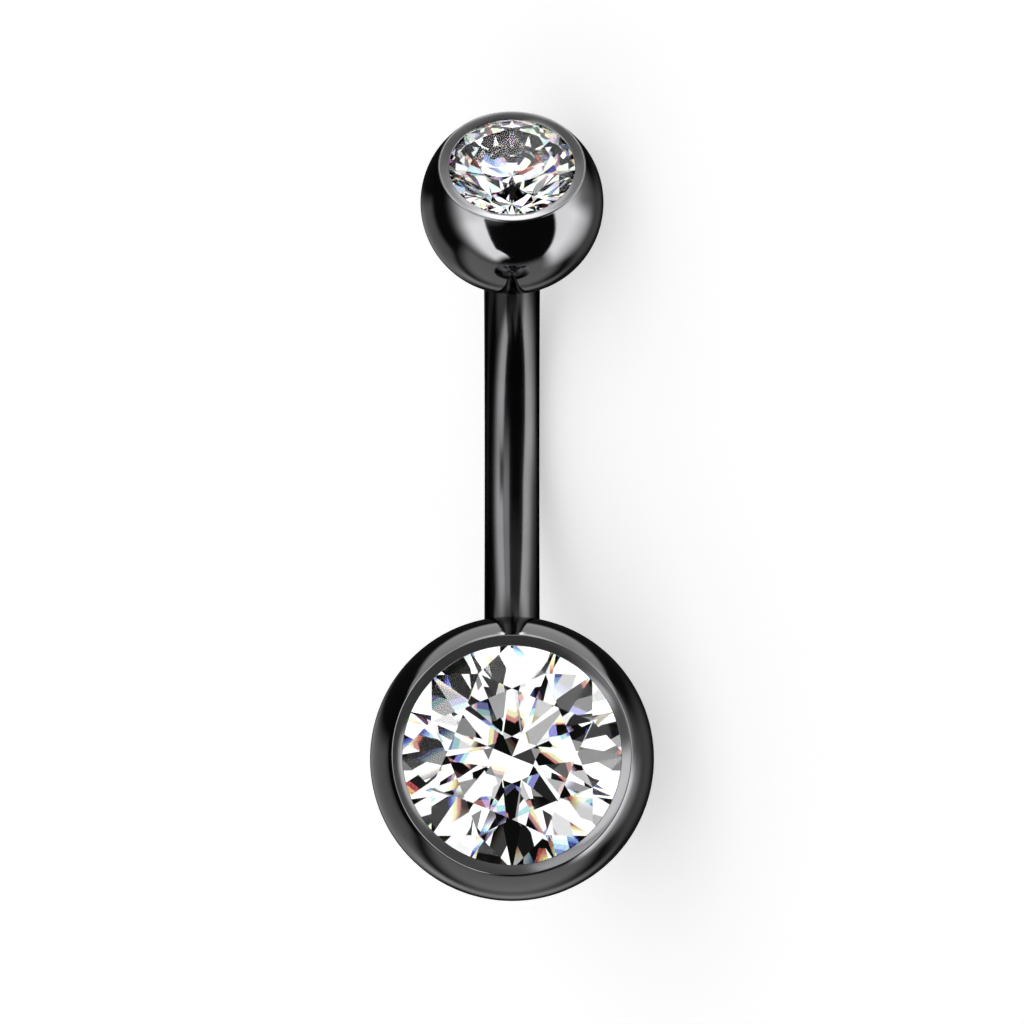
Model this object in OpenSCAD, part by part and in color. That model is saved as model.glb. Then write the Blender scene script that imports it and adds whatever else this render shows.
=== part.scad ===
// Navel ring: a bent bar with a fixed lower ball and an upper ball that screws off, each ball set
// with a round brilliant-cut stone. It lies on a table, on its two balls and the back of its bar.

/* [Bar] */
// Diameter of the bar, 14 gauge
bar_d = 1.6; // [1.2:0.1:2]
// Straight distance between the two balls, from seat to seat
bar_span = 11; // [8:0.5:16]
// Angle that the bar turns through from one ball to the other
bar_bend = 89; // [70:1:100]
// Radius of the solder fillet round the bar's foot
solder_r = 0.25; // [0.1:0.05:0.4]
// Bevel round the shoulder that the upper ball seats on
shoulder_bevel = 0.06; // [0.02:0.01:0.15]

/* [Threaded post] */
// Diameter over the crests of the thread
post_d = 1.2; // [0.8:0.1:1.4]
// Length of the post beyond the shoulder
post_length = 1.7; // [1.3:0.1:1.7]
// Distance from one crest to the next
thread_pitch = 0.25; // [0.2:0.05:0.4]
// Depth from crest to root
thread_depth = 0.13; // [0.05:0.01:0.2]
// Plain neck between the shoulder and the first crest
post_neck = 0.3; // [0.1:0.1:0.6]

/* [Lower ball] */
// Diameter of the lower ball
lower_ball_d = 8; // [7.4:0.1:9]
// Diameter of the lower stone
lower_stone_d = 6.3; // [5:0.1:6.6]
// How far the lower rim reaches over the edge of its stone
lower_rim_grip = 0.12; // [0.08:0.01:0.2]
// Width of the lower rim, from its mouth to the ball's skin
lower_rim_w = 0.3; // [0.2:0.02:0.4]
// Flat left at the crest of the lower rim
lower_rim_land = 0.05; // [0.02:0.01:0.1]
// Depth of the bevel that leads from the crest down to the mouth
lower_rim_bevel = 0.12; // [0.08:0.02:0.2]
// Depth of the plain mouth between the bevel and the stone
lower_rim_lip = 0.08; // [0.04:0.02:0.12]
// Angle by which the lower stone looks up from square to the bar
lower_look_up = 15; // [0:1:25]

/* [Upper ball] */
// Diameter of the upper ball
upper_ball_d = 5.1; // [5:0.1:6]
// Diameter of the upper stone
upper_stone_d = 3.65; // [3:0.05:3.7]
// How far the upper rim reaches over the edge of its stone
upper_rim_grip = 0.09; // [0.06:0.01:0.15]
// Thickness of the rolled upper rim
upper_rim_w = 0.31; // [0.2:0.01:0.4]
// How far the upper stone's edge lies below the middle of its rim
upper_stone_sink = 0.05; // [0:0.01:0.1]
// Diameter of the flat that seats on the bar's shoulder
upper_seat_d = 1.8; // [1.7:0.1:2.2]

/* [Stone cut] */
// Width of the table, as a share of the stone's diameter
table_share = 0.57; // [0.5:0.01:0.65]
// Slope of the crown's main facets
crown_angle = 34.5; // [30:0.5:37]
// Slope of the pavilion's main facets
pavilion_angle = 41; // [39:0.5:43]
// Reach of the star facets towards the girdle
star_share = 0.5; // [0.4:0.05:0.6]
// Reach of the lower half facets towards the culet
lower_half_share = 0.77; // [0.7:0.01:0.85]
// Thickness of the girdle, as a share of the stone's diameter
girdle_share = 0.028; // [0.02:0.002:0.05]

/* [Clearances] */
// Gap between a stone and its setting
stone_gap = 0.02; // [0.01:0.01:0.05]
// Gap between the upper ball and the bar's shoulder
shoulder_gap = 0.02; // [0.01:0.01:0.05]
// Gap round the post in its hole
thread_gap = 0.03; // [0.02:0.01:0.06]
// Room left past the end of the post
post_end_room = 0.1; // [0.05:0.05:0.15]

/* [Hidden] */
$fn = 96;
blackened_steel = [0.16, 0.16, 0.17];
clear_stone = [0.9, 0.94, 0.97];
// How far joined metal runs into its neighbour, and how far a blend cuts in so that surfaces cross
overlap = 0.4;
bite = 0.01;
// A stone has this many main facets, with its stars half a step round and its halves a quarter
mains = 8;
half_step = 180 / mains;
quarter_step = half_step / 2;

bar_r = bar_d / 2;
post_r = post_d / 2;
lower_r = lower_ball_d / 2;
upper_r = upper_ball_d / 2;
half_bend = bar_bend / 2;

// The upright ring: its front is -Y, up is +Z and the lower ball's centre is the origin
bend_r = bar_span / (2 * sin(half_bend));
foot_axis = [0, sin(half_bend), cos(half_bend)];
head_axis = [0, -sin(half_bend), cos(half_bend)];
bar_foot = lower_r * foot_axis;
bar_head = bar_foot + [0, 0, bar_span];
bend_centre = [0, bar_foot.y - bend_r * cos(half_bend), bar_foot.z + bar_span / 2];
seat_height = sqrt(pow(upper_r, 2) - pow(upper_seat_d / 2, 2));
upper_centre = bar_head + (seat_height + shoulder_gap) * head_axis;
lower_axis = [0, -cos(lower_look_up), sin(lower_look_up)];

// Height, over the ball's centre, of the flat where a rim's outer edge meets the ball's skin
function faced_height(ball_r, rim_r) = sqrt(pow(ball_r, 2) - pow(rim_r, 2));

lower_mouth_r = lower_stone_d / 2 - lower_rim_grip;
lower_rim_r = lower_mouth_r + lower_rim_w;
lower_face = faced_height(lower_r, lower_rim_r);
upper_mouth_r = upper_stone_d / 2 - upper_rim_grip;
upper_bead_r = upper_mouth_r - bite + upper_rim_w / 2;
upper_face = faced_height(upper_r, upper_bead_r + upper_rim_w / 2 - bite);

// A stone of unit radius, girdle's top at height 0: where its facets meet and how steep they are
table_r = table_share;
table_height = (1 - table_r) * tan(crown_angle);
star_r = table_r * cos(half_step) + star_share * (1 - table_r * cos(half_step));
star_height = (1 - star_r * cos(half_step)) * tan(crown_angle);
star_angle = atan((table_height - star_height) / (star_r - table_r * cos(half_step)));
upper_half_angle = atan(star_height / (cos(quarter_step) * (1 - star_r)));
girdle_height = 2 * girdle_share;
culet_depth = girdle_height + tan(pavilion_angle);
lower_half_r = 1 - lower_half_share;
lower_half_depth = girdle_height + (1 - lower_half_r * cos(half_step)) * tan(pavilion_angle);
lower_half_angle = atan((lower_half_depth - girdle_height) / (cos(quarter_step) * (1 - lower_half_r)));
blank_height = 3;

// Height of a girdle's top over its ball's centre, for a stone whose crown meets the mouth at this height
function girdle_top(meeting_height, stone_d, grip) =
    meeting_height - stone_gap - grip * tan(upper_half_angle);

lower_mouth_foot = lower_face - lower_rim_bevel - lower_rim_lip;
lower_girdle = girdle_top(lower_mouth_foot, lower_stone_d, lower_rim_grip);
upper_girdle = girdle_top(upper_face - upper_stone_sink, upper_stone_d, upper_rim_grip);

// The table that the ring lies on touches both balls and the back of the bend. Its upward direction
// has a part of length lean in the plane of the bend, at angle heel from +Y towards +Z.
ball_drop = upper_r - lower_r;
bar_drop = bar_r - lower_r;
rest_y = ball_drop * bend_centre.y - bar_drop * upper_centre.y;
rest_z = ball_drop * bend_centre.z - bar_drop * upper_centre.z;
heel = atan2(rest_z, rest_y) + acos(ball_drop * bend_r / norm([rest_y, rest_z]));
lean = bar_drop / (bend_centre.y * cos(heel) + bend_centre.z * sin(heel) - bend_r);
table_up = [-sqrt(1 - pow(lean, 2)), lean * cos(heel), lean * sin(heel)];
table_x = unit([0, 0, 1] - table_up.z * table_up);
table_y = cross(table_up, table_x);

function unit(v) = v / norm(v);
// How far a ring of radius r, at height h on an axis, reaches in a direction with this cosine to the axis
function ring_reach(h, r, cosine) = h * cosine + r * sqrt(1 - pow(cosine, 2));

x_low = -lower_r;
x_high = upper_centre * table_x + ring_reach(upper_face, upper_bead_r, head_axis * table_x)
         + upper_rim_w / 2;
y_low = -ring_reach(lower_face, lower_rim_r, -lower_axis * table_y);
y_high = bend_centre * table_y + bend_r * norm([table_y.y, table_y.z]) + bar_r;

// Lays the upright ring on the table, over the middle of its own footprint
module lying() {
    translate([-(x_low + x_high) / 2, -(y_low + y_high) / 2, lower_r])
        multmatrix([
            [table_x.x, table_x.y, table_x.z, 0],
            [table_y.x, table_y.y, table_y.z, 0],
            [table_up.x, table_up.y, table_up.z, 0],
            [0, 0, 0, 1]
        ])
            children();
}

module on_bar_head() {
    translate(bar_head) rotate([half_bend, 0, 0]) children();
}

module on_lower_ball() {
    rotate([90 - lower_look_up, 0, 0]) children();
}

module on_upper_ball() {
    translate(upper_centre) rotate([half_bend, 0, 0]) children();
}

// The outline of a stone's hollow from its bottom up to the underside of the rim, with the gap added
function hollow(stone_d, girdle) =
    let (r = stone_d / 2) [
        [0, girdle - culet_depth * r - stone_gap],
        [lower_half_r * r + stone_gap, girdle - lower_half_depth * r - stone_gap],
        [r + stone_gap, girdle - girdle_height * r - stone_gap],
        [r + stone_gap, girdle + stone_gap]
    ];

// Half of a ball's section, from this height below its centre up to this height above it
module faced_section(r, below, above) {
    intersection() {
        circle(r = r);
        translate([0, -below]) square([r, below + above]);
    }
}

module bar() {
    foot_turn = overlap / bend_r * 180 / PI;
    difference() {
        translate(bend_centre)
            rotate([90, 0, 90])
                rotate([0, 0, -half_bend - foot_turn])
                    rotate_extrude(angle = bar_bend + foot_turn) translate([bend_r, 0]) circle(r = bar_r);
        on_bar_head()
            rotate_extrude()
                polygon([
                    [bar_r - shoulder_bevel - overlap, overlap],
                    [bar_r + overlap, -shoulder_bevel - overlap],
                    [bar_r + overlap, overlap]
                ]);
    }
}

// Crests and roots of the thread up the side of the post, which has a blunt lead at its tip
module threaded_post() {
    root_r = post_r - thread_depth;
    crests = floor((post_length - post_neck) / thread_pitch);
    rotate_extrude()
        polygon(concat(
            [[0, -overlap], [root_r, -overlap], [root_r, post_neck]],
            [for (i = [0 : crests - 1]) each [
                [post_r, post_neck + (i + 0.5) * thread_pitch],
                [root_r, post_neck + (i + 1) * thread_pitch]
            ]],
            [[root_r - thread_depth, post_length], [0, post_length]]
        ));
}

// Solder drawn up between the bar and the skin of the lower ball
module solder_fillet() {
    centre_r = bar_r + solder_r - bite;
    centre_height = faced_height(lower_r + solder_r - bite, centre_r);
    rotate([-half_bend, 0, 0])
        rotate_extrude()
            difference() {
                translate([0, centre_height - solder_r - overlap])
                    square([centre_r, solder_r + overlap]);
                translate([centre_r, centre_height]) circle(r = solder_r);
            }
}

module lower_ball() {
    bevel_run = lower_rim_w - lower_rim_land;
    on_lower_ball()
        rotate_extrude()
            difference() {
                faced_section(lower_r, lower_r, lower_face);
                polygon(concat(hollow(lower_stone_d, lower_girdle), [
                    [lower_mouth_r, lower_mouth_foot],
                    [lower_mouth_r, lower_face - lower_rim_bevel],
                    [lower_mouth_r + 2 * bevel_run, lower_face + lower_rim_bevel],
                    [0, lower_face + lower_rim_bevel]
                ]));
            }
}

module barbell() {
    color(blackened_steel) {
        lower_ball();
        solder_fillet();
        bar();
        on_bar_head() threaded_post();
    }
}

module upper_ball() {
    hole_depth = post_length - shoulder_gap + post_end_room;
    color(blackened_steel)
        on_upper_ball()
            rotate_extrude()
                difference() {
                    union() {
                        faced_section(upper_r, seat_height, upper_face);
                        translate([upper_bead_r, upper_face]) circle(d = upper_rim_w);
                    }
                    polygon(concat(hollow(upper_stone_d, upper_girdle), [
                        [upper_mouth_r, upper_face - upper_stone_sink],
                        [upper_mouth_r, upper_face + upper_rim_w],
                        [0, upper_face + upper_rim_w]
                    ]));
                    translate([0, -seat_height - overlap])
                        square([post_r + thread_gap, overlap + hole_depth]);
                }
}

// An eight-sided pyramid whose sides fall at this slope through a point at (r, height) in this direction
module pyramid(azimuth, r, height, slope) {
    rotate([0, 0, azimuth - half_step])
        translate([0, 0, height + r * tan(slope) - blank_height])
            cylinder(r1 = blank_height / tan(slope) / cos(half_step), r2 = 0, h = blank_height, $fn = mains);
}

// A round brilliant of unit radius: a round blank between the pyramids that its facets belong to
module brilliant() {
    intersection() {
        translate([0, 0, table_height - blank_height]) cylinder(r = 1, h = blank_height);
        pyramid(0, 1, 0, crown_angle);
        pyramid(half_step, star_r, star_height, star_angle);
        pyramid(quarter_step, cos(quarter_step), 0, upper_half_angle);
        pyramid(-quarter_step, cos(quarter_step), 0, upper_half_angle);
        translate([0, 0, -girdle_height])
            mirror([0, 0, 1])
                intersection() {
                    pyramid(0, 1, 0, pavilion_angle);
                    pyramid(quarter_step, cos(quarter_step), 0, lower_half_angle);
                    pyramid(-quarter_step, cos(quarter_step), 0, lower_half_angle);
                }
    }
}

module lower_stone() {
    color(clear_stone)
        on_lower_ball() translate([0, 0, lower_girdle]) scale(lower_stone_d / 2) brilliant();
}

module upper_stone() {
    color(clear_stone)
        on_upper_ball() translate([0, 0, upper_girdle]) scale(upper_stone_d / 2) brilliant();
}

lying() barbell();
lying() lower_stone();
lying() upper_ball();
lying() upper_stone();
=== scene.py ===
"""Navel ring: a black steel barbell with a brilliant-cut stone in each ball, lying on a white table."""

import math

import bmesh
import bpy
from mathutils import Matrix, Vector


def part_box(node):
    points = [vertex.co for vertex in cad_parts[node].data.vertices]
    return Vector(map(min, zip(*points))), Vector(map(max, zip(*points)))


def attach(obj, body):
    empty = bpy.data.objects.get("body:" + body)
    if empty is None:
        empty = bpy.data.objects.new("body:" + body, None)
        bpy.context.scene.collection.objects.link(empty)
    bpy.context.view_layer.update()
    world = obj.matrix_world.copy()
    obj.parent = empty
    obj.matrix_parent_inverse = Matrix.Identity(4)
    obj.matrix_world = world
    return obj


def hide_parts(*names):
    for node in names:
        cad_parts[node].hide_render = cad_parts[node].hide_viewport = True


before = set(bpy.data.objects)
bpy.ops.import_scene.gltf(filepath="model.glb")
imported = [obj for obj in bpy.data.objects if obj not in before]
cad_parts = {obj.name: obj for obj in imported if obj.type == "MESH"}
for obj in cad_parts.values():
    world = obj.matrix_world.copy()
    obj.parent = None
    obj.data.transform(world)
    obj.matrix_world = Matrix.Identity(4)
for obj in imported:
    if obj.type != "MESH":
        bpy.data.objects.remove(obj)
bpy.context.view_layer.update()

# The ring's sizes as its solids have them: lengths in millimetres, angles in radians
MM = 0.001
BAR_R = 0.8
BAR_SPAN = 11.0
HALF_BEND = math.radians(44.5)
SOLDER_R = 0.25
SHOULDER_BEVEL = 0.06
SHOULDER_GAP = 0.02
FOOT_OVERLAP = 0.4
BITE = 0.01

POST_R = 0.6
POST_LENGTH = 1.7
POST_NECK = 0.3
THREAD_PITCH = 0.25
THREAD_DEPTH = 0.13
THREAD_GAP = 0.03
POST_END_ROOM = 0.1

LOWER_R = 4.0
LOWER_STONE_R = 3.15
LOWER_GRIP = 0.12
LOWER_RIM_W = 0.3
LOWER_RIM_LAND = 0.05
LOWER_RIM_BEVEL = 0.12
LOWER_RIM_LIP = 0.08
LOWER_LOOK_UP = math.radians(15)

UPPER_R = 2.55
UPPER_STONE_R = 1.825
UPPER_GRIP = 0.09
UPPER_RIM_W = 0.31
UPPER_SINK = 0.05
UPPER_SEAT_R = 0.9

# The stones' cut: shares of a stone's size, the number of its main facets, and its gap to the metal
TABLE_SHARE = 0.57
CROWN_ANGLE = math.radians(34.5)
PAVILION_ANGLE = math.radians(41)
STAR_SHARE = 0.5
LOWER_HALF_SHARE = 0.77
GIRDLE_SHARE = 0.028
MAINS = 8
STONE_GAP = 0.02

# Finer forms that only the scene has: rounded edges, the upper band's slope and the hole's lead-in
CREST_R = 0.035
MOUTH_R = 0.03
BAND_TOP = 0.02
BAND_FALL = 0.055
BAND_OUTER_EDGE = 0.045
BAND_INNER_EDGE = 0.03
HOLE_CHAMFER = 0.06
HOLE_END_LAND = 0.05
SEAT_EDGE_W = 0.1

# The lower ball's round skin ends this many degrees short of its rim, where the crest takes over
CREST_TURN = 1.6

# The thread rises from root to crest between these shares of half a pitch, and it runs in and out
# between these lengths after its neck and before its end
THREAD_CREST = (0.12, 0.85)
THREAD_RUNS_IN = (0.0, 0.12)
THREAD_RUNS_OUT = (0.08, 0.2)

# The solder's flare stops just short of a full quarter turn, where its slope would be endless
SOLDER_SHARE = 0.985

# A face counts as the stone's girdle if its normal rises or falls by less than this
GIRDLE_LEAN = 0.1
CUT_TOLERANCE = 1e-6
WELD_DISTANCE = 1e-5

# How finely the round forms are stepped, and the turn from which an edge of the steel stays sharp
BALL_TURNS = 224
LOWER_BALL_ROWS = 96
UPPER_BALL_ROWS = 84
EDGE_STEPS = 6
BAR_RINGS = 400
BAR_SIDES = 88
POST_ROWS = 168
POST_SIDES = 72
GIRDLE_SIDES = 128
SHARP_EDGE = math.radians(28)

# The camera looks square on at the upright ring's front, from a little above it. Its reach is in metres.
CAMERA_TILT = math.radians(8.8)
CAMERA_AIM = 7.025
CAMERA_DISTANCE = 110.0
CAMERA_LENS = 138.6
CAMERA_SENSOR = 36.0
CAMERA_REACH = 10


def faced_height(ball_r, rim_r):
    """How far from a ball's centre a flat lies that leaves a circle of this radius."""
    return math.sqrt(ball_r**2 - rim_r**2)


# The upright ring: its front is -Y, up is +Z and the lower ball's centre is the origin
BEND_R = BAR_SPAN / (2 * math.sin(HALF_BEND))
FOOT_AXIS = Vector((0, math.sin(HALF_BEND), math.cos(HALF_BEND)))
HEAD_AXIS = Vector((0, -math.sin(HALF_BEND), math.cos(HALF_BEND)))
BAR_FOOT = LOWER_R * FOOT_AXIS
BAR_HEAD = BAR_FOOT + Vector((0, 0, BAR_SPAN))
BEND_CENTRE = Vector((0, BAR_FOOT.y - BEND_R * math.cos(HALF_BEND), BAR_FOOT.z + BAR_SPAN / 2))
SEAT_HEIGHT = faced_height(UPPER_R, UPPER_SEAT_R)
UPPER_CENTRE = BAR_HEAD + (SEAT_HEIGHT + SHOULDER_GAP) * HEAD_AXIS
LOWER_AXIS = Vector((0, -math.cos(LOWER_LOOK_UP), math.sin(LOWER_LOOK_UP)))

LOWER_MOUTH_R = LOWER_STONE_R - LOWER_GRIP
LOWER_RIM_R = LOWER_MOUTH_R + LOWER_RIM_W
LOWER_FACE = faced_height(LOWER_R, LOWER_RIM_R)
LOWER_MOUTH_FOOT = LOWER_FACE - LOWER_RIM_BEVEL - LOWER_RIM_LIP
UPPER_MOUTH_R = UPPER_STONE_R - UPPER_GRIP
UPPER_BEAD_R = UPPER_MOUTH_R - BITE + UPPER_RIM_W / 2
UPPER_FACE = faced_height(UPPER_R, UPPER_BEAD_R + UPPER_RIM_W / 2 - BITE)

# A stone of unit radius with its girdle's top at height 0
HALF_STEP = math.pi / MAINS
QUARTER_STEP = HALF_STEP / 2
TABLE_HEIGHT = (1 - TABLE_SHARE) * math.tan(CROWN_ANGLE)
TABLE_FLAT = TABLE_SHARE * math.cos(HALF_STEP)
STAR_R = TABLE_FLAT + STAR_SHARE * (1 - TABLE_FLAT)
STAR_HEIGHT = (1 - STAR_R * math.cos(HALF_STEP)) * math.tan(CROWN_ANGLE)
STAR_ANGLE = math.atan((TABLE_HEIGHT - STAR_HEIGHT) / (STAR_R - TABLE_FLAT))
UPPER_HALF_ANGLE = math.atan(STAR_HEIGHT / (math.cos(QUARTER_STEP) * (1 - STAR_R)))
GIRDLE_HEIGHT = 2 * GIRDLE_SHARE
CULET_DEPTH = GIRDLE_HEIGHT + math.tan(PAVILION_ANGLE)
LOWER_HALF_R = 1 - LOWER_HALF_SHARE
LOWER_HALF_DROP = (1 - LOWER_HALF_R * math.cos(HALF_STEP)) * math.tan(PAVILION_ANGLE)
LOWER_HALF_ANGLE = math.atan(LOWER_HALF_DROP / (math.cos(QUARTER_STEP) * (1 - LOWER_HALF_R)))


def girdle_top(meeting_height, grip):
    """The height of a stone's girdle whose crown just clears a rim that reaches in over it by grip."""
    return meeting_height - STONE_GAP - grip * math.tan(UPPER_HALF_ANGLE)


LOWER_GIRDLE = girdle_top(LOWER_MOUTH_FOOT, LOWER_GRIP)
UPPER_GIRDLE = girdle_top(UPPER_FACE - UPPER_SINK, UPPER_GRIP)


def lying():
    """The move from the upright ring to the one on the table, on its two balls and the back of its bar."""
    ball_drop = UPPER_R - LOWER_R
    bar_drop = BAR_R - LOWER_R
    rest = ball_drop * BEND_CENTRE - bar_drop * UPPER_CENTRE
    heel = math.atan2(rest.z, rest.y) + math.acos(ball_drop * BEND_R / rest.length)
    towards = Vector((0, math.cos(heel), math.sin(heel)))
    lean = bar_drop / (BEND_CENTRE.dot(towards) - BEND_R)
    up = lean * towards - Vector((math.sqrt(1 - lean**2), 0, 0))
    along = (Vector((0, 0, 1)) - up.z * up).normalized()
    across = up.cross(along)
    turned = Matrix((along, across, up)).to_4x4()
    low, high = (MM**-1 * Vector(corner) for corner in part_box("barbell"))
    ball_low = turned @ Vector((0, 0, 0)) - Vector((LOWER_R, 0, LOWER_R))
    bar_back = (turned @ BEND_CENTRE).y + BEND_R * Vector((across.y, across.z)).length + BAR_R
    return Matrix.Translation((low.x - ball_low.x, high.y - bar_back, LOWER_R)) @ turned


LYING = lying()


def facing(centre, axis):
    """A frame in the upright ring with its origin here and +Z along this axis of the plane of the bend."""
    side = Vector((1, 0, 0))
    return Matrix.Translation(centre) @ Matrix((side, axis.cross(side), axis)).transposed().to_4x4()


IN_LOWER_BALL = facing(Vector(), LOWER_AXIS)
IN_UPPER_BALL = facing(UPPER_CENTRE, HEAD_AXIS)
ON_BAR_HEAD = facing(BAR_HEAD, HEAD_AXIS)
ROUND_THE_BEND = Matrix.Translation(BEND_CENTRE) @ Matrix(((0, 0, 1), (1, 0, 0), (0, 1, 0))).to_4x4()


class Socket:
    """A node's output that takes part in plain arithmetic."""

    def __init__(self, nodes, socket):
        self.nodes = nodes
        self.socket = socket

    def __add__(self, other):
        return self.nodes.math("ADD", self, other)

    def __radd__(self, other):
        return self.nodes.math("ADD", other, self)

    def __sub__(self, other):
        return self.nodes.math("SUBTRACT", self, other)

    def __rsub__(self, other):
        return self.nodes.math("SUBTRACT", other, self)

    def __mul__(self, other):
        return self.nodes.math("MULTIPLY", self, other)

    def __rmul__(self, other):
        return self.nodes.math("MULTIPLY", other, self)

    def __truediv__(self, other):
        return self.nodes.math("DIVIDE", self, other)

    def __pow__(self, other):
        return self.nodes.math("POWER", self, other)


class Nodes:
    """A node tree that is filled one call a node."""

    def __init__(self, tree):
        self.tree = tree

    def add(self, kind, settings=None, sockets=(), out=0):
        """One output of a new node, given its type, its settings and the values or links of its sockets."""
        node = self.tree.nodes.new(kind)
        for key, value in (settings or {}).items():
            setattr(node, key, value)
        named = sockets.items() if isinstance(sockets, dict) else enumerate(sockets)
        for key, value in named:
            if isinstance(value, Socket):
                self.tree.links.new(value.socket, node.inputs[key])
            else:
                node.inputs[key].default_value = value
        return Socket(self, node.outputs[out]) if node.outputs else None

    def math(self, operation, *values):
        return self.add("ShaderNodeMath", {"operation": operation}, values)

    def noise(self, place, scale, detail):
        return self.add("ShaderNodeTexNoise", None, {"Vector": place, "Scale": scale, "Detail": detail})

    def xyz(self, place):
        """The three numbers of a vector."""
        split = self.add("ShaderNodeSeparateXYZ", None, [place])
        return [Socket(self, output) for output in split.socket.node.outputs]

    def step(self, value, low, high):
        """0 below low, 1 above high and smooth between, or the other way round where low is the higher."""
        return self.add(
            "ShaderNodeMapRange",
            {"interpolation_type": "SMOOTHSTEP"},
            {"Value": value, "From Min": low, "From Max": high},
        )

    def window(self, value, low, high, soft):
        """1 between low and high, fading to 0 over soft on either side."""
        return self.step(value, low - soft, low + soft) * self.step(value, high + soft, high - soft)


def empty_tree(holder):
    holder.use_nodes = True
    holder.node_tree.nodes.clear()
    return Nodes(holder.node_tree)


def place_in_scene(name, data):
    """A new object of this mesh or camera in the scene, at the origin."""
    thing = bpy.data.objects.new(name, data)
    bpy.context.scene.collection.objects.link(thing)
    return thing


def grey_colour(shade):
    return (shade, shade, shade, 1)


# Finishes

# The coating's haze, in clouds a few millimetres across
HAZE_SCALE = 420.0
HAZE_SPAN = (0.35, 0.7)
HAZE_DARKEST = 0.92
HAZE_SPREAD = 0.16
HAZE_ROUGHNESS = 0.04
BLUE_CAST = 1.03

# Its relief: a fine grain, scaled to the metre, or lines round an axis, scaled to the millimetre
GRAIN_SCALE = 9000.0
GRAIN_STRENGTH = 0.03
LINES_SCALE = 30.0
LINES_STRENGTH = 0.05
RELIEF_DEPTH = 0.00001
RELIEF_ROUGHNESS = 0.03

# A third of a stone's rays carries each colour nearly alone. The shader tints a ray by the root of
# these at each surface, and the three thirds together come out white.
OWN_COLOUR = 4.2
OTHER_COLOURS = 0.18
STONE_SHEEN = 0.05
LOWER_STONE_BENDS = (2.151, 2.155, 2.160)
UPPER_STONE_BENDS = (2.144, 2.155, 2.169)


def blackened_steel(name, shade, roughness, metallic=1.0, edge=1.0, lines=None):
    """Steel under a hazy black coating; lines is the frame of a ball round whose axis it was turned."""
    material = bpy.data.materials.new(name)
    nodes = empty_tree(material)
    place = nodes.add("ShaderNodeTexCoord", out="Object")
    haze = nodes.step(nodes.noise(place, HAZE_SCALE, detail=3.0), *HAZE_SPAN)
    if lines:
        turn = LYING @ lines
        local = nodes.add(
            "ShaderNodeMapping",
            {"vector_type": "TEXTURE"},
            {
                "Vector": place,
                "Location": turn.to_translation() * MM,
                "Rotation": turn.to_euler(),
                "Scale": (MM, MM, MM),
            },
        )
        x, y, _ = nodes.xyz(local)
        relief = nodes.add(
            "ShaderNodeTexNoise",
            {"noise_dimensions": "1D"},
            {"W": (x * x + y * y) ** 0.5, "Scale": LINES_SCALE, "Detail": 2.0},
        )
    else:
        relief = nodes.noise(place, GRAIN_SCALE, detail=2.0)
    grey = shade * (HAZE_DARKEST + HAZE_SPREAD * haze)
    coating = nodes.add(
        "ShaderNodeCombineColor",
        None,
        {"Red": grey, "Green": grey, "Blue": grey * BLUE_CAST},
    )
    polish = nodes.add(
        "ShaderNodeBump",
        None,
        {
            "Strength": LINES_STRENGTH if lines else GRAIN_STRENGTH,
            "Distance": RELIEF_DEPTH,
            "Height": relief,
        },
        out="Normal",
    )
    steel = nodes.add(
        "ShaderNodeBsdfPrincipled",
        None,
        {
            "Base Color": coating,
            "Metallic": metallic,
            "Roughness": roughness + HAZE_ROUGHNESS * haze + RELIEF_ROUGHNESS * relief,
            "Specular Tint": grey_colour(edge),
            "Normal": polish,
        },
    )
    nodes.add("ShaderNodeOutputMaterial", None, {"Surface": steel})
    return material


def mirror(name, shade):
    """Clean bright metal, for the foil behind the upper stone and the walls of both hollows."""
    material = bpy.data.materials.new(name)
    nodes = empty_tree(material)
    metal = nodes.add(
        "ShaderNodeBsdfPrincipled",
        None,
        {"Base Color": grey_colour(shade), "Metallic": 1.0, "Roughness": 0.0},
    )
    nodes.add("ShaderNodeOutputMaterial", None, {"Surface": metal})
    return material


def cut_stone(name, bends_by):
    """Colourless zirconia that bends red, green and blue a little differently."""
    material = bpy.data.materials.new(name)
    nodes = empty_tree(material)
    bends = []
    for channel, ior in enumerate(bends_by):
        colour = list(grey_colour(OTHER_COLOURS))
        colour[channel] = OWN_COLOUR
        bends.append(
            nodes.add(
                "ShaderNodeBsdfPrincipled",
                None,
                {
                    "Base Color": colour,
                    "Roughness": 0.0,
                    "IOR": ior,
                    "Specular Tint": grey_colour(STONE_SHEEN),
                    "Transmission Weight": 1.0,
                },
            )
        )
    warm = nodes.add("ShaderNodeMixShader", None, (1 / 2, bends[0], bends[1]))
    white = nodes.add("ShaderNodeMixShader", None, (1 / 3, warm, bends[2]))
    nodes.add("ShaderNodeOutputMaterial", None, {"Surface": white})
    return material


# Shapes


def mesh_from(name, bm, materials=()):
    mesh = bpy.data.meshes.new(name)
    for material in materials:
        mesh.materials.append(material)
    bmesh.ops.recalc_face_normals(bm, faces=bm.faces)
    bm.to_mesh(mesh)
    bm.free()
    return mesh


def ball_skin(r, start, end, steps):
    """The section of a ball from one angle to another in degrees, both ends included."""
    angles = (math.radians(start + (end - start) * i / steps) for i in range(steps + 1))
    return [(r * math.cos(a), r * math.sin(a)) for a in angles]


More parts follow.
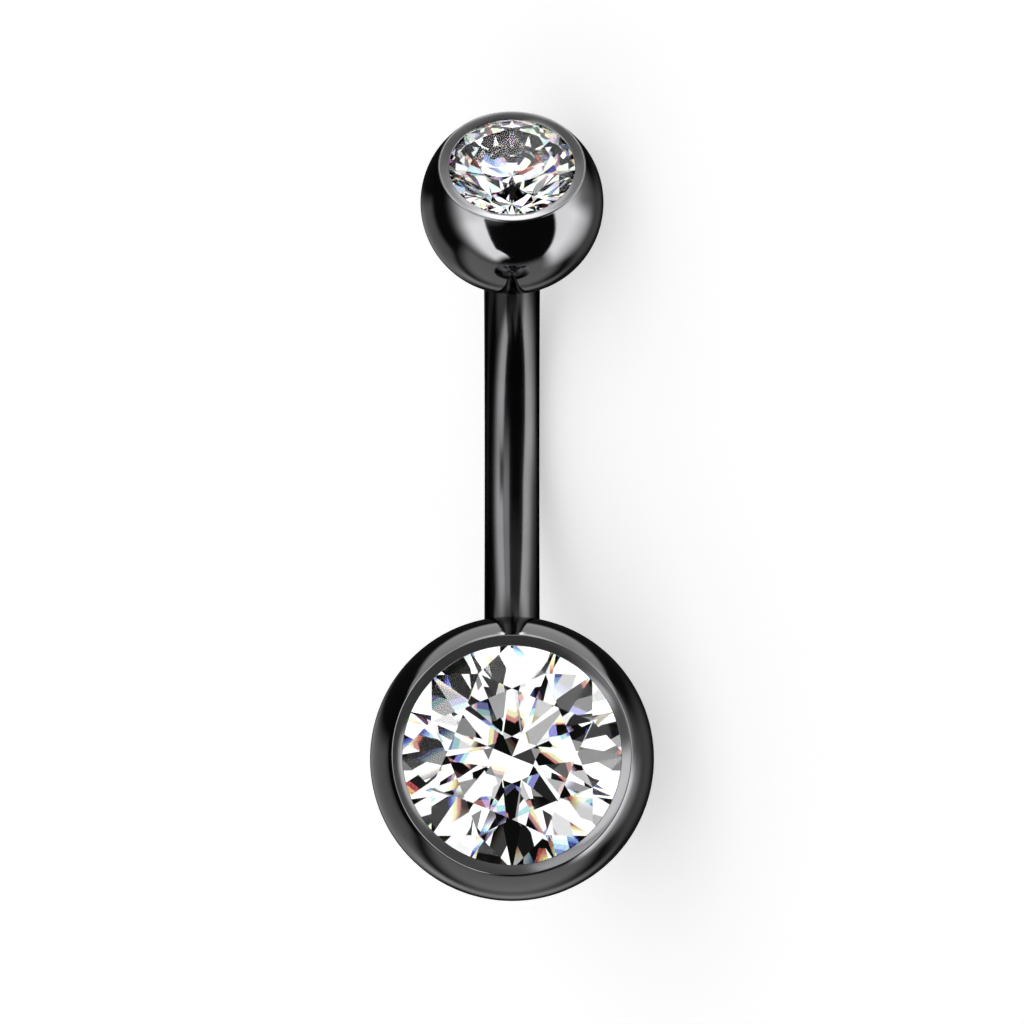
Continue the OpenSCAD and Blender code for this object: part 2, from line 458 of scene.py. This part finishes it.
def eased(corners):
    """A section's line through (r, height, radius) corners, each rounded by an arc of that radius."""
    line = []
    for i, (r, height, radius) in enumerate(corners):
        here = Vector((r, height))
        if radius == 0 or i in (0, len(corners) - 1):
            line.append((r, height))
            continue
        before = (Vector(corners[i - 1][:2]) - here).normalized()
        after = (Vector(corners[i + 1][:2]) - here).normalized()
        half = before.angle(after) / 2
        cut = radius / math.tan(half)
        centre = here + (before + after).normalized() * radius / math.sin(half)
        start = (here + before * cut - centre).normalized()
        end = (here + after * cut - centre).normalized()
        turns = (k / EDGE_STEPS for k in range(EDGE_STEPS + 1))
        line += [tuple(centre + start.slerp(end, share) * radius) for share in turns]
    return line


def lathe(name, section, rim, wall, materials):
    """A closed solid turned from a section that starts and ends on the axis.

    The rows from rim on take the second material, and those from wall on take the third.
    """
    bm = bmesh.new()
    rings = []
    for r, height in section:
        if r == 0:
            rings.append([bm.verts.new((0, 0, height))])
            continue
        angles = (2 * math.pi * k / BALL_TURNS for k in range(BALL_TURNS))
        rings.append([bm.verts.new((r * math.cos(a), r * math.sin(a), height)) for a in angles])
    for row, (low, high) in enumerate(zip(rings, rings[1:])):
        for k in range(BALL_TURNS):
            around = (k + 1) % BALL_TURNS
            corners = [low[k % len(low)], low[around % len(low)]]
            corners += [high[around % len(high)], high[k % len(high)]]
            face = bm.faces.new(dict.fromkeys(corners))
            face.material_index = int(row >= rim) + int(row >= wall)
    return mesh_from(name, bm, materials)


def hollow(stone_r, girdle):
    """The section of a stone's hollow, from the underside of its rim down to the axis."""
    return [
        (stone_r + STONE_GAP, girdle + STONE_GAP),
        (stone_r + STONE_GAP, girdle - GIRDLE_HEIGHT * stone_r - STONE_GAP),
        (
            LOWER_HALF_R * stone_r + STONE_GAP,
            girdle - (GIRDLE_HEIGHT + LOWER_HALF_DROP) * stone_r - STONE_GAP,
        ),
        (0, girdle - CULET_DEPTH * stone_r - STONE_GAP),
    ]


def lower_ball_mesh():
    """The fixed ball, faced off for its stone, with a crested and bevelled rim round the hollow."""
    rim_angle = math.degrees(math.atan2(LOWER_FACE, LOWER_RIM_R))
    skin = ball_skin(LOWER_R, -90, rim_angle - CREST_TURN, LOWER_BALL_ROWS)
    skin[0] = (0, -LOWER_R)
    crest = eased(
        [
            (*skin[-1], 0),
            (LOWER_RIM_R - LOWER_RIM_LAND / 2, LOWER_FACE, CREST_R),
            (LOWER_MOUTH_R, LOWER_FACE - LOWER_RIM_BEVEL, MOUTH_R),
            (LOWER_MOUTH_R, LOWER_MOUTH_FOOT, 0),
        ]
    )
    section = skin + crest[1:] + hollow(LOWER_STONE_R, LOWER_GIRDLE)
    rim = len(skin) + 2
    wall = len(skin) + len(crest) - 3
    return lathe("lower_ball", section, rim, wall, [ball_steel, lower_rim_steel, seat_steel])


def grooved_hole():
    """The section of the upper ball's hole, from its blind end to its chamfered mouth."""
    hole_r = POST_R + THREAD_GAP
    hole_end = -SEAT_HEIGHT + POST_LENGTH - SHOULDER_GAP + POST_END_ROOM
    pitches = int((hole_end + SEAT_HEIGHT - POST_NECK) / THREAD_PITCH)
    section = [(0, hole_end), (hole_r, hole_end)]
    for i in range(pitches):
        top = hole_end - HOLE_END_LAND - i * THREAD_PITCH
        section += [(hole_r, top), (hole_r + THREAD_DEPTH / 2, top - THREAD_PITCH / 2)]
    section.append((hole_r, hole_end - HOLE_END_LAND - pitches * THREAD_PITCH))
    return section + eased(
        [
            (hole_r, -SEAT_HEIGHT + HOLE_CHAMFER, 0),
            (hole_r + HOLE_CHAMFER, -SEAT_HEIGHT, 0),
            (UPPER_SEAT_R, -SEAT_HEIGHT, CREST_R),
            (UPPER_SEAT_R + SEAT_EDGE_W, -faced_height(UPPER_R, UPPER_SEAT_R + SEAT_EDGE_W), 0),
        ]
    )


def upper_ball_mesh():
    """The screw-off ball: a grooved hole from below, a raised band and the hollow for its stone above."""
    start = -math.degrees(math.acos((UPPER_SEAT_R + SEAT_EDGE_W) / UPPER_R))
    outer_r = UPPER_MOUTH_R + UPPER_RIM_W
    foot = faced_height(UPPER_R, outer_r)
    skin = ball_skin(UPPER_R, start, math.degrees(math.atan2(foot, outer_r)), UPPER_BALL_ROWS)
    top = UPPER_FACE + BAND_TOP
    band = eased(
        [
            (outer_r, foot, 0),
            (outer_r, top, BAND_OUTER_EDGE),
            (UPPER_MOUTH_R, top - BAND_FALL, BAND_INNER_EDGE),
            (UPPER_MOUTH_R, UPPER_FACE - UPPER_SINK, 0),
        ]
    )
    before = grooved_hole() + skin[1:]
    section = before + band[1:] + hollow(UPPER_STONE_R, UPPER_GIRDLE)
    rim = len(before)
    wall = len(before) + len(band) - 3
    return lathe("upper_ball", section, rim, wall, [ball_steel, upper_rim_steel, seat_steel])


def settled(holder):
    """A plain mesh of an object with its modifiers applied."""
    depsgraph = bpy.context.evaluated_depsgraph_get()
    return bpy.data.meshes.new_from_object(holder.evaluated_get(depsgraph))


def grow(name, build, sizes, material):
    """The mesh that a Geometry Nodes tree makes from its named sizes."""
    tree = bpy.data.node_groups.new(name, "GeometryNodeTree")
    tree.interface.new_socket("Geometry", in_out="OUTPUT", socket_type="NodeSocketGeometry")
    for key in sizes:
        tree.interface.new_socket(key, in_out="INPUT", socket_type="NodeSocketFloat")
    nodes = Nodes(tree)
    given = tree.nodes.new("NodeGroupInput")
    named = {key: Socket(nodes, given.outputs[key]) for key in sizes}
    shape = build(nodes, named)
    real = nodes.add("GeometryNodeRealizeInstances", None, [shape])
    coated = nodes.add("GeometryNodeSetMaterial", None, {"Geometry": real, "Material": material})
    nodes.add("NodeGroupOutput", None, [coated])
    holder = place_in_scene(name, bpy.data.meshes.new(name))
    modifier = holder.modifiers.new(name, "NODES")
    modifier.node_group = tree
    for item in tree.interface.items_tree:
        if item.in_out == "INPUT":
            modifier[item.identifier] = float(sizes[item.name])
    mesh = settled(holder)
    bpy.data.objects.remove(holder)
    return mesh


def bent_bar(nodes, size):
    """A round bar along an arc, flared by solder at its foot and eased at its shoulder."""
    arc_length = size["Bend radius"] * (2 * size["Half bend"] + size["Foot turn"])
    path = nodes.add(
        "GeometryNodeCurveArc",
        {"mode": "RADIUS"},
        {
            "Resolution": BAR_RINGS,
            "Radius": size["Bend radius"],
            "Start Angle": 0 - size["Half bend"] - size["Foot turn"],
            "Sweep Angle": 2 * size["Half bend"] + size["Foot turn"],
        },
    )
    along = nodes.add("GeometryNodeSplineParameter", out="Length")
    height = along - size["Bend radius"] * size["Foot turn"] + size["Ball radius"]
    solder = size["Solder radius"]
    centre_r = size["Bar radius"] + solder - size["Bite"]
    centre_height = ((size["Ball radius"] + solder - size["Bite"]) ** 2 - centre_r**2) ** 0.5
    below = nodes.math("MAXIMUM", centre_height - height, 0.0)
    below = nodes.math("MINIMUM", below, solder * SOLDER_SHARE)
    flare = solder - (solder**2 - below**2) ** 0.5
    bevel = size["Shoulder bevel"]
    near_end = nodes.math("MAXIMUM", 1 - (arc_length - along) / bevel, 0.0)
    ease = bevel * (1 - nodes.math("MAXIMUM", 1 - near_end**2, 0.0) ** 0.5)
    radius = size["Bar radius"] + flare - ease
    circle = nodes.add(
        "GeometryNodeCurvePrimitiveCircle",
        {"mode": "RADIUS"},
        {"Resolution": BAR_SIDES, "Radius": 1.0},
    )
    return nodes.add(
        "GeometryNodeCurveToMesh",
        None,
        {"Curve": path, "Profile Curve": circle, "Scale": radius, "Fill Caps": True},
    )


def threaded_post(nodes, size):
    """A post whose thread winds up it as a true helix, with a plain neck and a blunt lead."""
    whole = size["Length"] + size["Overlap"]
    blank = nodes.add(
        "GeometryNodeMeshCylinder",
        {"fill_type": "TRIANGLE_FAN"},
        {"Vertices": POST_SIDES, "Side Segments": POST_ROWS, "Radius": 1.0, "Depth": whole},
        out="Mesh",
    )
    x, y, z = nodes.xyz(nodes.add("GeometryNodeInputPosition"))
    height = z + whole * 0.5 - size["Overlap"]
    to_end = size["Length"] - height
    turn = height / size["Pitch"] - nodes.math("ARCTAN2", y, x) / math.tau
    flank = 1 - 2 * nodes.math("ABSOLUTE", nodes.math("FRACT", turn) - 0.5)
    crest = nodes.step(flank, *THREAD_CREST)
    runs_in = nodes.step(height - size["Neck"], *THREAD_RUNS_IN)
    runs_out = nodes.step(to_end, *THREAD_RUNS_OUT)
    root = size["Post radius"] - size["Thread depth"]
    thread = root + size["Thread depth"] * crest * runs_in * runs_out
    lead = root - size["Thread depth"] + to_end
    radius = nodes.math("MINIMUM", thread, lead)
    outwards = nodes.add("ShaderNodeCombineXYZ", None, {"X": x * radius, "Y": y * radius, "Z": height})
    return nodes.add("GeometryNodeSetPosition", None, {"Geometry": blank, "Position": outwards})


def fused(name, parts):
    """One closed mesh from solids that run into each other."""
    holders = [place_in_scene(name, part) for part in parts]
    for other in holders[1:]:
        union = holders[0].modifiers.new("union", "BOOLEAN")
        union.operation = "UNION"
        union.solver = "EXACT"
        union.material_mode = "TRANSFER"
        union.object = other
    mesh = settled(holders[0])
    for holder in holders:
        bpy.data.objects.remove(holder)
    return mesh


def barbell_mesh():
    """The fixed ball, the bent bar and its threaded post in one."""
    bar = grow(
        "bent_bar",
        bent_bar,
        {
            "Bend radius": BEND_R,
            "Half bend": HALF_BEND,
            "Foot turn": FOOT_OVERLAP / BEND_R,
            "Bar radius": BAR_R,
            "Ball radius": LOWER_R,
            "Solder radius": SOLDER_R,
            "Shoulder bevel": SHOULDER_BEVEL,
            "Bite": BITE,
        },
        bar_steel,
    )
    bar.transform(ROUND_THE_BEND)
    post = grow(
        "threaded_post",
        threaded_post,
        {
            "Post radius": POST_R,
            "Length": POST_LENGTH,
            "Overlap": FOOT_OVERLAP,
            "Neck": POST_NECK,
            "Pitch": THREAD_PITCH,
            "Thread depth": THREAD_DEPTH,
        },
        bar_steel,
    )
    post.transform(ON_BAR_HEAD)
    ball = lower_ball_mesh()
    ball.transform(IN_LOWER_BALL)
    return fused("barbell", [ball, bar, post])


CROWN = 1
PAVILION = -1


def grind(bm, azimuth, r, height, slope, side):
    """Grinds a facet through a point, sloping away outwards, on the stone's crown or pavilion."""
    across = Vector((math.cos(azimuth), math.sin(azimuth), 0))
    cut = bmesh.ops.bisect_plane(
        bm,
        geom=bm.verts[:] + bm.edges[:] + bm.faces[:],
        dist=CUT_TOLERANCE,
        plane_co=across * r + Vector((0, 0, height)),
        plane_no=across * math.sin(slope) + Vector((0, 0, side * math.cos(slope))),
        clear_outer=True,
    )
    rim = [e for e in cut["geom_cut"] if isinstance(e, bmesh.types.BMEdge)]
    bmesh.ops.edgeloop_fill(bm, edges=rim)


def brilliant_mesh(name, radius, front, back):
    """A round brilliant, ground facet by facet from a round blank; its pavilion takes the back material."""
    bm = bmesh.new()
    depth = TABLE_HEIGHT + CULET_DEPTH
    bmesh.ops.create_cone(
        bm,
        cap_ends=True,
        segments=GIRDLE_SIDES,
        radius1=1,
        radius2=1,
        depth=depth,
        matrix=Matrix.Translation((0, 0, TABLE_HEIGHT - depth / 2)),
    )
    foot = -GIRDLE_HEIGHT
    half_r = math.cos(QUARTER_STEP)
    for i in range(MAINS):
        main = 2 * i * HALF_STEP
        grind(bm, main, 1, 0, CROWN_ANGLE, CROWN)
        grind(bm, main, 1, foot, PAVILION_ANGLE, PAVILION)
        for half in (main - QUARTER_STEP, main + QUARTER_STEP):
            grind(bm, half, half_r, 0, UPPER_HALF_ANGLE, CROWN)
            grind(bm, half, half_r, foot, LOWER_HALF_ANGLE, PAVILION)
        grind(bm, main + HALF_STEP, STAR_R, STAR_HEIGHT, STAR_ANGLE, CROWN)
    bmesh.ops.remove_doubles(bm, verts=bm.verts, dist=WELD_DISTANCE)
    bm.normal_update()
    for face in bm.faces:
        on_girdle = abs(face.normal.z) < GIRDLE_LEAN
        face.smooth = on_girdle
        face.material_index = int(face.normal.z < 0 and not on_girdle)
    bmesh.ops.scale(bm, vec=(radius, radius, radius), verts=bm.verts)
    return mesh_from(name, bm, [front, back])


def polished(mesh):
    """Smooth steel whose true edges stay sharp."""
    mesh.shade_smooth()
    mesh.set_sharp_from_angle(angle=SHARP_EDGE)
    return mesh


def add_piece(name, mesh, place):
    """A finished piece: its mesh in metres where it lies on the table, its object at the origin."""
    mesh.transform(Matrix.Scale(MM, 4) @ LYING @ place)
    mesh.name = name
    return place_in_scene(name, mesh)


# The camera, the table and the light


def picture_axes():
    """The picture's right, up and towards-the-viewer directions, on the table."""
    turn = LYING.to_3x3()
    right = turn @ Vector((1, 0, 0))
    up = turn @ Vector((0, math.sin(CAMERA_TILT), math.cos(CAMERA_TILT)))
    return right, up, right.cross(up)


def add_camera():
    data = bpy.data.cameras.new("camera")
    data.lens = CAMERA_LENS
    data.sensor_width = CAMERA_SENSOR
    data.clip_start = MM
    data.clip_end = CAMERA_REACH
    camera = place_in_scene("camera", data)
    right, up, back = picture_axes()
    place = LYING @ Vector((0, 0, CAMERA_AIM)) + back * CAMERA_DISTANCE
    camera.matrix_world = Matrix.Translation(place * MM) @ Matrix((right, up, back)).transposed().to_4x4()
    bpy.context.scene.camera = camera


# The table top, its sizes in metres
TABLE_HALF_WIDTH = 0.6
TABLE_SHADE = 0.92
TABLE_GLOW = 0.45
TABLE_SHEEN = 0.2
TABLE_ROUGHNESS = 0.35
TABLE_MOTTLE = 0.1
TABLE_MOTTLE_SCALE = 60.0


def add_table():
    """A white table top that neither the steel nor the stones show, as in a cut-out studio picture."""
    bm = bmesh.new()
    bmesh.ops.create_grid(bm, x_segments=1, y_segments=1, size=TABLE_HALF_WIDTH)
    mesh = mesh_from("table", bm)
    material = bpy.data.materials.new("white_table")
    nodes = empty_tree(material)
    place = nodes.add("ShaderNodeTexCoord", out="Object")
    mottle = nodes.noise(place, TABLE_MOTTLE_SCALE, detail=2.0)
    white = nodes.add(
        "ShaderNodeBsdfPrincipled",
        None,
        {
            "Base Color": grey_colour(TABLE_SHADE),
            "Roughness": TABLE_ROUGHNESS + TABLE_MOTTLE * mottle,
            "Specular IOR Level": TABLE_SHEEN,
            "Emission Color": grey_colour(1),
            "Emission Strength": TABLE_GLOW,
        },
    )
    nodes.add("ShaderNodeOutputMaterial", None, {"Surface": white})
    mesh.materials.append(material)
    table = place_in_scene("table", mesh)
    table.visible_glossy = False
    table.visible_transmission = False


# How bright each part of the studio is
DARK_ROOM = 0.02
SIDE_BOXES = 5.8
LEFT_FILL = 3.0
OVERHEAD_STRIP = 6.2
FRONT_TOP = 0.45
CEILING = 1.4
FRONT_GLOW = 0.3
CEILING_TOP = 3.3
BENCH = 0.72
BENCH_END = 0.7
FAR_LEFT = 0.45
FAR_RIGHT = 0.25
DOME_ON_TABLE = 0.63

# The stones see a patchwork of lit and dark cells, with more and brighter ones high up
CELL_SCALE = 50.0
DARK_CELL = 0.01
LIT_CELL = 2.9
HIGH_CELL_EXTRA = 1.4
HIGH_CELL_CHANCE = 0.22
LIT_CHANCE = (0.3, 0.62)

# Where both side boxes end at the top, in degrees
BOX_TOP = (62, 40)


def light_studio():
    """The studio: white to the camera, an even dome to the table, lamps to steel, patches to stones.

    Right, up and back are a direction's shares along the picture's axes, and back is towards the
    viewer. Azimuth is 0 there and grows to the right, rise is the height over the picture's level,
    and pitch goes over the top from front to rear, all three in degrees.
    """
    world = bpy.data.worlds.new("studio")
    bpy.context.scene.world = world
    world.cycles.sampling_method = "NONE"
    nodes = empty_tree(world)
    way = nodes.add("ShaderNodeTexCoord", out="Generated")
    right, up, back = (
        nodes.add("ShaderNodeVectorMath", {"operation": "DOT_PRODUCT"}, [way, axis], out="Value")
        for axis in picture_axes()
    )
    degree = math.degrees(1)
    azimuth = nodes.math("ARCTAN2", right, back) * degree
    rise = nodes.math("ARCSINE", up) * degree
    below = nodes.math("MAXIMUM", 0 - rise, 0.0)
    far_below = nodes.math("MAXIMUM", -62 - rise, 0.0)
    pitch = nodes.math("ARCTAN2", up, back) * degree

    # The left soft box widens far down, is dimmer across its middle and has a gap in its inner edge
    left_box = (
        nodes.step(azimuth, -100, -58) ** 2
        * nodes.step(azimuth - 1.8 * far_below, -36.5, -39.5)
        * nodes.step(rise, -80, -70)
        * nodes.step(rise, *BOX_TOP)
        * (1 - 0.25 * nodes.window(rise, -22, 0, 8))
        * (1 - 0.9 * nodes.window(azimuth, -53, -35, 2) * nodes.window(rise, -12, 5, 4))
    )
    # The right one narrows downwards and fades towards its far side
    right_fade = 1 - 0.75 * nodes.step(azimuth, 60, 105) * nodes.step(rise, -12, 4)
    right_fade = right_fade * (1 - 0.35 * nodes.step(azimuth, 84, 108))
    right_box = (
        nodes.step(azimuth - 0.6 * below, 45, 51)
        * nodes.step(azimuth, 134, 100)
        * nodes.step(rise, -63, -48)
        * nodes.step(rise, *BOX_TOP)
        * right_fade
    )
    left_fill = nodes.window(azimuth, -36, -12, 2) * nodes.step(rise, -35, 5) * nodes.step(rise, 62, 50)
    overhead = nodes.window(right, -0.08, 0.08, 0.03) * nodes.window(pitch, 67, 125, 3)
    front_top = nodes.step(rise, 50, 65) * nodes.step(back, -0.05, 0.1)
    front_glow = nodes.step(rise, 5, 35) * nodes.step(back, 0, 0.2)
    ceiling = nodes.step(rise, 29, 34) * nodes.step(back, 0.3, 0.0)
    ceiling_top = nodes.step(rise, 58, 80) * nodes.step(back, 0.05, -0.1)
    bench = nodes.step(rise, -36, -52) * nodes.step(back, 0.1, -0.1)
    bench_end = nodes.step(rise, -20, -34) * nodes.step(back, -0.7, -0.86)
    far_left = nodes.window(azimuth, -166, -120, 7) * nodes.window(rise, -34, 4, 5)
    far_right = nodes.window(azimuth, 120, 150, 12) * nodes.window(rise, -30, 12, 8)
    steel_sees = (
        DARK_ROOM
        + SIDE_BOXES * (left_box + right_box)
        + LEFT_FILL * left_fill
        + OVERHEAD_STRIP * overhead
        + FRONT_TOP * front_top
        + CEILING * ceiling
        + FRONT_GLOW * front_glow
        + CEILING_TOP * ceiling_top
        + BENCH * bench
        + BENCH_END * bench_end
        + FAR_LEFT * far_left
        + FAR_RIGHT * far_right
    )

    cells = nodes.add("ShaderNodeTexVoronoi", None, {"Vector": way, "Scale": CELL_SCALE}, out="Color")
    chance = nodes.add("ShaderNodeSeparateColor", None, [cells], out="Red")
    high = nodes.step(rise, 10, 40)
    lit = nodes.step(chance + HIGH_CELL_CHANCE * high, *LIT_CHANCE) * nodes.step(back, -0.8, -0.5)
    stone_sees = DARK_CELL + (LIT_CELL + HIGH_CELL_EXTRA * high) * lit

    # A ray that leaves a stone counts as a mirrored one too, and it is to see the patches alone
    rays = {
        kind: nodes.add("ShaderNodeLightPath", out=f"Is {kind} Ray")
        for kind in ("Camera", "Diffuse", "Glossy", "Transmission")
    }
    radiance = (
        rays["Camera"]
        + rays["Diffuse"] * DOME_ON_TABLE
        + rays["Glossy"] * (1 - rays["Transmission"]) * steel_sees
        + rays["Transmission"] * stone_sees
    )
    light = nodes.add("ShaderNodeBackground", None, {"Color": grey_colour(1), "Strength": radiance})
    nodes.add("ShaderNodeOutputWorld", None, {"Surface": light})


def set_film():
    """Plain colours, how far light is followed, and a cap on stray bright samples."""
    scene = bpy.context.scene
    scene.view_settings.view_transform = "Standard"
    scene.cycles.max_bounces = 32
    scene.cycles.transmission_bounces = 14
    scene.cycles.glossy_bounces = 4
    scene.cycles.caustics_reflective = True
    scene.cycles.caustics_refractive = True
    scene.cycles.sample_clamp_indirect = 3


add_camera()
add_table()
light_studio()
set_film()

ball_steel = blackened_steel("black_ball_steel", shade=0.12, roughness=0.04, edge=0.8)
bar_steel = blackened_steel("black_bar_steel", shade=0.05, roughness=0.13, edge=0.3)
lower_rim_steel = blackened_steel(
    "black_lower_rim", shade=0.12, roughness=0.1, metallic=0.6, lines=IN_LOWER_BALL
)
upper_rim_steel = blackened_steel(
    "black_upper_rim", shade=0.11, roughness=0.1, metallic=0.9, lines=IN_UPPER_BALL
)
seat_steel = mirror("bright_seat", shade=0.8)
foil = mirror("silver_foil", shade=0.97)
clear = cut_stone("clear_stone", LOWER_STONE_BENDS)
fiery = cut_stone("clear_upper_stone", UPPER_STONE_BENDS)

barbell = add_piece("black_barbell", polished(barbell_mesh()), Matrix())
top_ball = add_piece("black_upper_ball", polished(upper_ball_mesh()), IN_UPPER_BALL)
big_stone = add_piece(
    "lower_brilliant",
    brilliant_mesh("lower_brilliant", LOWER_STONE_R, front=clear, back=clear),
    IN_LOWER_BALL @ Matrix.Translation((0, 0, LOWER_GIRDLE)),
)
small_stone = add_piece(
    "upper_brilliant",
    brilliant_mesh("upper_brilliant", UPPER_STONE_R, front=fiery, back=foil),
    IN_UPPER_BALL @ Matrix.Translation((0, 0, UPPER_GIRDLE)),
)

for piece, node, body, finish in (
    (barbell, "barbell", "bar", "black_steel"),
    (big_stone, "lower_stone", "bar", "clear_stone"),
    (top_ball, "upper_ball", "top", "black_steel"),
    (small_stone, "upper_stone", "top", "clear_stone"),
):
    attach(piece, body)
    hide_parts(node)
